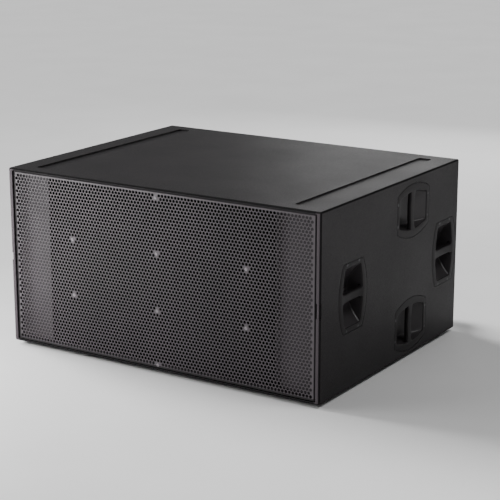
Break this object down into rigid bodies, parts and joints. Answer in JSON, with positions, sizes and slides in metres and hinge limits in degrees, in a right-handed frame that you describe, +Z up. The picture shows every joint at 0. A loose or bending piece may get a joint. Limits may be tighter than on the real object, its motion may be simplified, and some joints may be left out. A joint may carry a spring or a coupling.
{
  "type": "subwoofer cabinet",
  "caption": "Wide black touring subwoofer cabinet with perforated steel grille, bar handles in the sides, stacking runners and rear castors.",
  "frame": {"origin": "centre of the footprint of the whole object, castors included, on the plane that the runners stand on", "axes": "+Z up, the grille faces -Y, +X to the right seen from the front"},
  "size_m": [1.25, 1.103, 0.637],
  "materials": {
    "cabinet_paint": "birch plywood with a black, finely textured impact-resistant coating",
    "inner_plywood": "birch plywood, thin black paint",
    "grille_powder_coat": "perforated steel, black powder coat, satin",
    "grille_foam": "open-cell black acoustic foam",
    "inner_steel": "folded steel, dark grey paint, satin",
    "bright_zinc": "bright zinc",
    "black_zinc": "black zinc",
    "plated_steel": "zinc-plated steel",
    "handle_black": "black glass-filled polyamide, satin",
    "cast_basket": "die-cast aluminium, black",
    "motor_steel": "ferrite ring and steel plates, black",
    "cone_paper": "ribbed black paper pulp, coated",
    "dust_cap_cloth": "black paper dome",
    "surround_cloth": "treated black cloth half-roll",
    "spider_cloth": "corrugated phenolic cloth",
    "coil_former": "aluminium wire on a glass-fibre former",
    "port_plastic": "black moulded plastic",
    "runner_plastic": "black wear-resistant plastic",
    "castor_rubber": "black rubber tyre on a grey hub",
    "socket_plastic": "black moulded plastic",
    "gasket_foam": "closed-cell gasket",
    "connector_plate_paint": "pressed steel, black powder coat",
    "lead_jacket": "two-core rubber-jacketed cable"
  },
  "bodies": {
    "cabinet": {"bottom_panel": "cabinet_paint", "castor_plate_lower_left": "plated_steel", "castor_plate_lower_right": "plated_steel", "castor_plate_upper_left": "plated_steel", "castor_plate_upper_right": "plated_steel", "castor_screws": "plated_steel", "centre_brace": "inner_plywood", "connector_plate": "connector_plate_paint", "driver_basket_left": "cast_basket", "driver_basket_right": "cast_basket", "driver_gaskets": "gasket_foam", "driver_leads": "lead_jacket", "driver_motor_left": "motor_steel", "driver_motor_right": "motor_steel", "driver_screws": "black_zinc", "end_cover_left": "inner_steel", "end_cover_right": "inner_steel", "front_baffle": "inner_plywood", "front_grille": "grille_powder_coat", "grille_foam": "grille_foam", "grille_screws": "bright_zinc", "grille_support_frame": "inner_steel", "handle_bottom_left": "handle_black", "handle_bottom_right": "handle_black", "handle_front_left": "handle_black", "handle_front_right": "handle_black", "handle_rear_left": "handle_black", "handle_rear_right": "handle_black", "handle_top_left": "handle_black", "handle_top_right": "handle_black", "panel_screws": "black_zinc", "port_tube_bottom": "port_plastic", "port_tube_top": "port_plastic", "rear_panel": "cabinet_paint", "runner_left": "runner_plastic", "runner_right": "runner_plastic", "runner_screws": "black_zinc", "side_panel_left": "cabinet_paint", "side_panel_right": "cabinet_paint", "speaker_socket_in": "socket_plastic", "speaker_socket_link": "socket_plastic", "spider_left": "spider_cloth", "spider_right": "spider_cloth", "surround_left": "surround_cloth", "surround_right": "surround_cloth", "top_panel": "cabinet_paint"},
    "cone_assembly_left": {"cone_left": "cone_paper", "dust_cap_left": "dust_cap_cloth", "voice_coil_left": "coil_former"},
    "cone_assembly_right": {"cone_right": "cone_paper", "dust_cap_right": "dust_cap_cloth", "voice_coil_right": "coil_former"},
    "castor_swivel_upper_left": {"castor_fork_upper_left": "plated_steel"},
    "castor_roll_upper_left": {"castor_wheel_upper_left": "castor_rubber"},
    "castor_swivel_upper_right": {"castor_fork_upper_right": "plated_steel"},
    "castor_roll_upper_right": {"castor_wheel_upper_right": "castor_rubber"},
    "castor_swivel_lower_left": {"castor_fork_lower_left": "plated_steel"},
    "castor_roll_lower_left": {"castor_wheel_lower_left": "castor_rubber"},
    "castor_swivel_lower_right": {"castor_fork_lower_right": "plated_steel"},
    "castor_roll_lower_right": {"castor_wheel_lower_right": "castor_rubber"}
  },
  "joints": [
    {"name": "cone_travel_left", "type": "slide", "parent": "cabinet", "child": "cone_assembly_left", "axis": [0, -1, 0], "range_m": [-0.014, 0.014], "stiffness_N_per_m": 9000, "deforming": ["surround_left", "spider_left"]},
    {"name": "cone_travel_right", "type": "slide", "parent": "cabinet", "child": "cone_assembly_right", "axis": [0, -1, 0], "range_m": [-0.014, 0.014], "stiffness_N_per_m": 9000, "deforming": ["surround_right", "spider_right"]},
    {"name": "castor_turn_upper_left", "type": "hinge", "parent": "cabinet", "child": "castor_swivel_upper_left", "pos_m": [-0.515, 0.4235, 0.527], "axis": [0, 1, 0], "continuous": true},
    {"name": "castor_spin_upper_left", "type": "hinge", "parent": "castor_swivel_upper_left", "child": "castor_roll_upper_left", "pos_m": [-0.515, 0.5015, 0.489], "axis": [1, 0, 0], "continuous": true},
    {"name": "castor_turn_upper_right", "type": "hinge", "parent": "cabinet", "child": "castor_swivel_upper_right", "pos_m": [0.515, 0.4235, 0.527], "axis": [0, 1, 0], "continuous": true},
    {"name": "castor_spin_upper_right", "type": "hinge", "parent": "castor_swivel_upper_right", "child": "castor_roll_upper_right", "pos_m": [0.515, 0.5015, 0.489], "axis": [1, 0, 0], "continuous": true},
    {"name": "castor_turn_lower_left", "type": "hinge", "parent": "cabinet", "child": "castor_swivel_lower_left", "pos_m": [-0.515, 0.4235, 0.122], "axis": [0, 1, 0], "continuous": true},
    {"name": "castor_spin_lower_left", "type": "hinge", "parent": "castor_swivel_lower_left", "child": "castor_roll_lower_left", "pos_m": [-0.515, 0.5015, 0.084], "axis": [1, 0, 0], "continuous": true},
    {"name": "castor_turn_lower_right", "type": "hinge", "parent": "cabinet", "child": "castor_swivel_lower_right", "pos_m": [0.515, 0.4235, 0.122], "axis": [0, 1, 0], "continuous": true},
    {"name": "castor_spin_lower_right", "type": "hinge", "parent": "castor_swivel_lower_right", "child": "castor_roll_lower_right", "pos_m": [0.515, 0.5015, 0.084], "axis": [1, 0, 0], "continuous": true}
  ]
}
